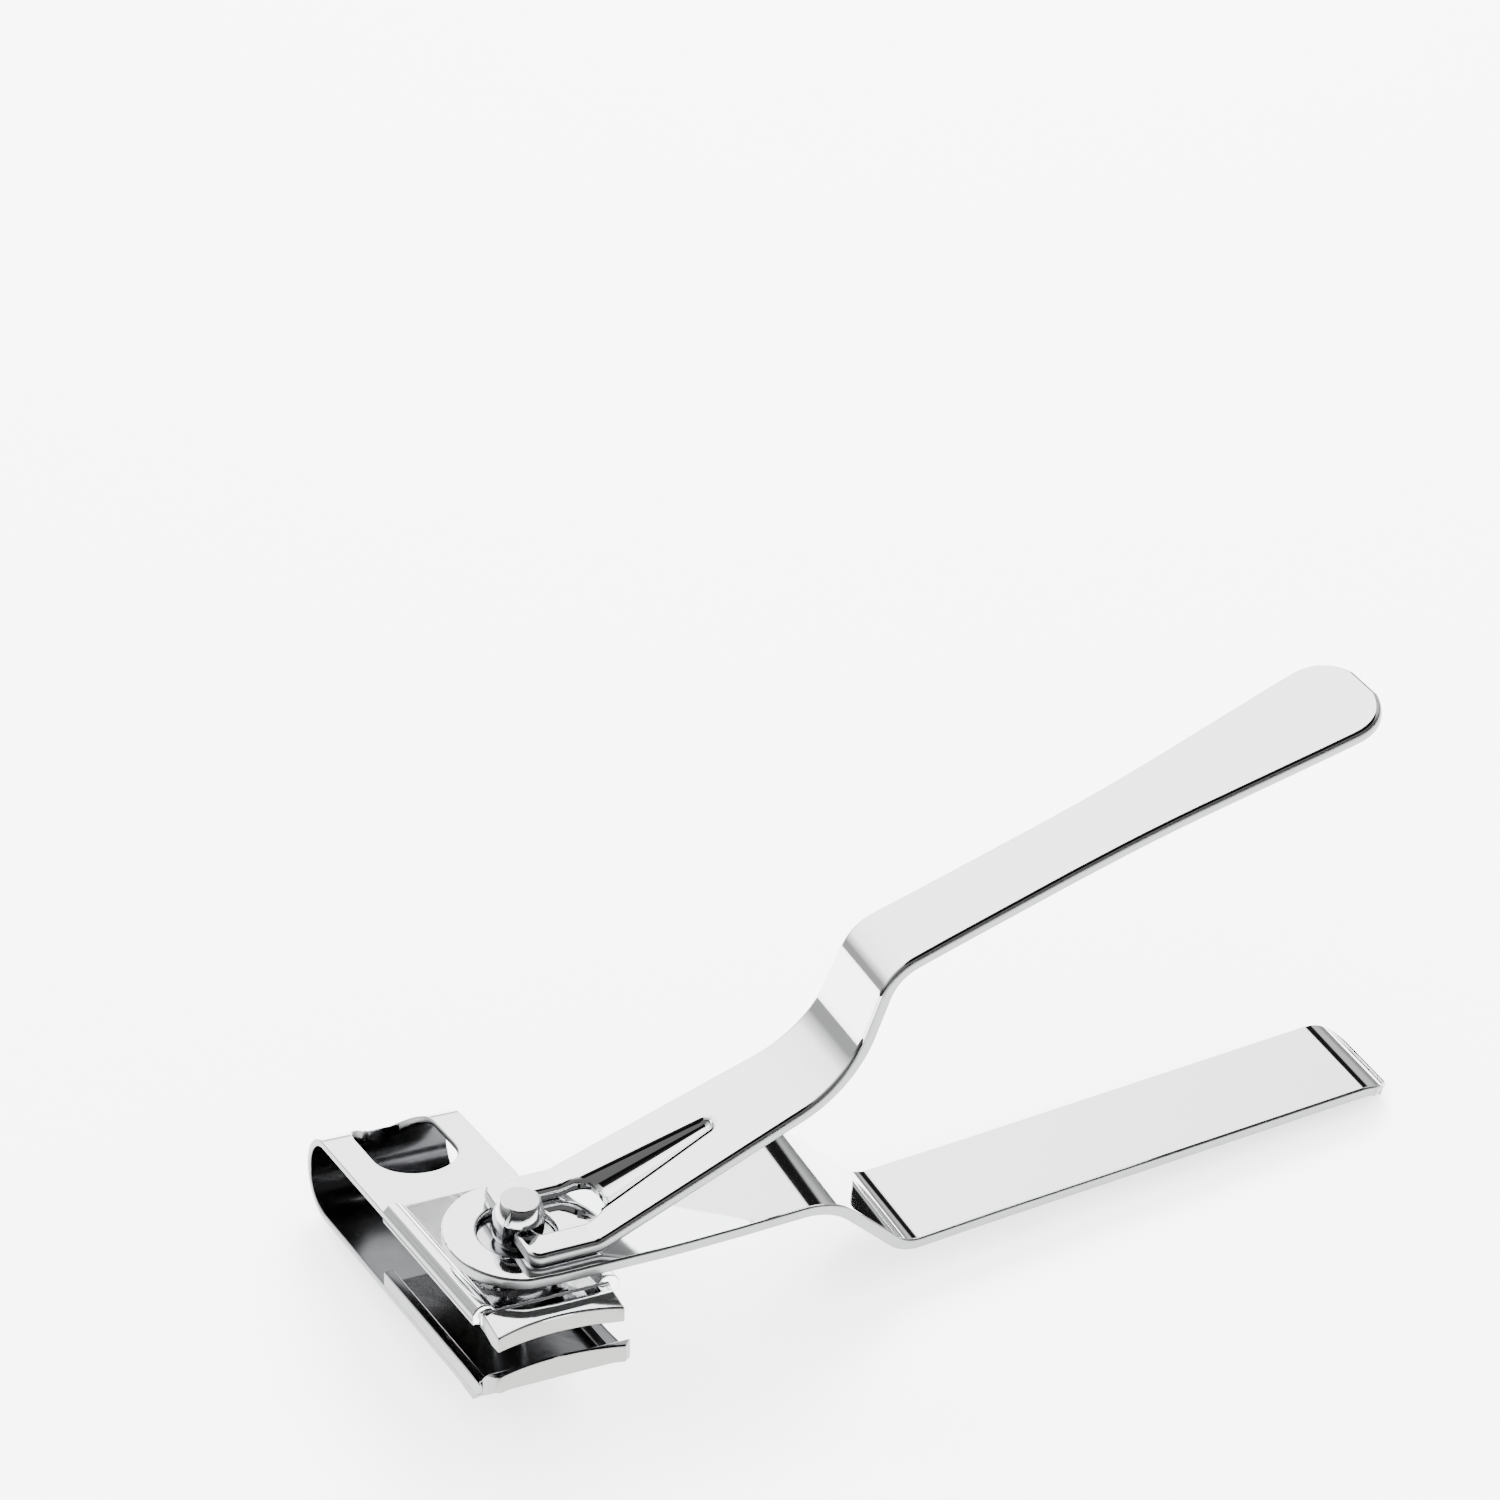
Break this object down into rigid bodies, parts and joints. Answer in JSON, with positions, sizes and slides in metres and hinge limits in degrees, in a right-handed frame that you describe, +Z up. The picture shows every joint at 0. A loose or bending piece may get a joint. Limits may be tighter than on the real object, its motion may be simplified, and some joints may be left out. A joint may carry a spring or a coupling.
{
  "type": "nail clipper",
  "caption": "Swivel-head nail clipper: a folded spring head turns under a long handle and is closed by a long fork-ended lever.",
  "frame": {"origin": "on the swivel axis, at the flat underside of the post's foot", "axes": "+Z up along the post towards its button, +X along the handle to its tip, the head's bend on +Y and its jaws on -Y as at rest"},
  "size_m": [0.1135, 0.047, 0.0672],
  "materials": {
    "polished_chrome": "bright chrome plate on polished pressed steel",
    "turned_steel": "turned steel, satin"
  },
  "bodies": {
    "handle": {"handle": "polished_chrome"},
    "lever": {"lever": "polished_chrome"},
    "head_upper": {"upper_jaw": "polished_chrome", "swivel_bush": "turned_steel"},
    "head_lower": {"lower_jaw": "polished_chrome"},
    "post": {"post": "turned_steel", "post_foot": "turned_steel"}
  },
  "joints": [
    {"name": "head_swivel", "type": "hinge", "parent": "handle", "child": "head_upper", "pos_m": [0, 0, 0], "axis": [0, 0, 1], "continuous": true},
    {"name": "jaw_close", "type": "hinge", "parent": "head_upper", "child": "head_lower", "pos_m": [0, 0.03338, 0.00007], "axis": [-1, 0, 0], "range_deg": [0, 3]},
    {"name": "post_lift", "type": "slide", "parent": "handle", "child": "post", "axis": [0, 0, 1], "range_m": [0, 0.00158]},
    {"name": "lever_press", "type": "hinge", "parent": "handle", "child": "lever", "pos_m": [0.00574, 0, 0.01833], "axis": [0, 1, 0], "range_deg": [0, 15.3], "stiffness_Nm_per_rad": 0.5}
  ],
  "couplings": [
    {"joint": "post_lift", "follows": "lever_press", "m_per_rad": 0.0059162},
    {"joint": "jaw_close", "follows": "lever_press", "ratio": 0.19606}
  ]
}
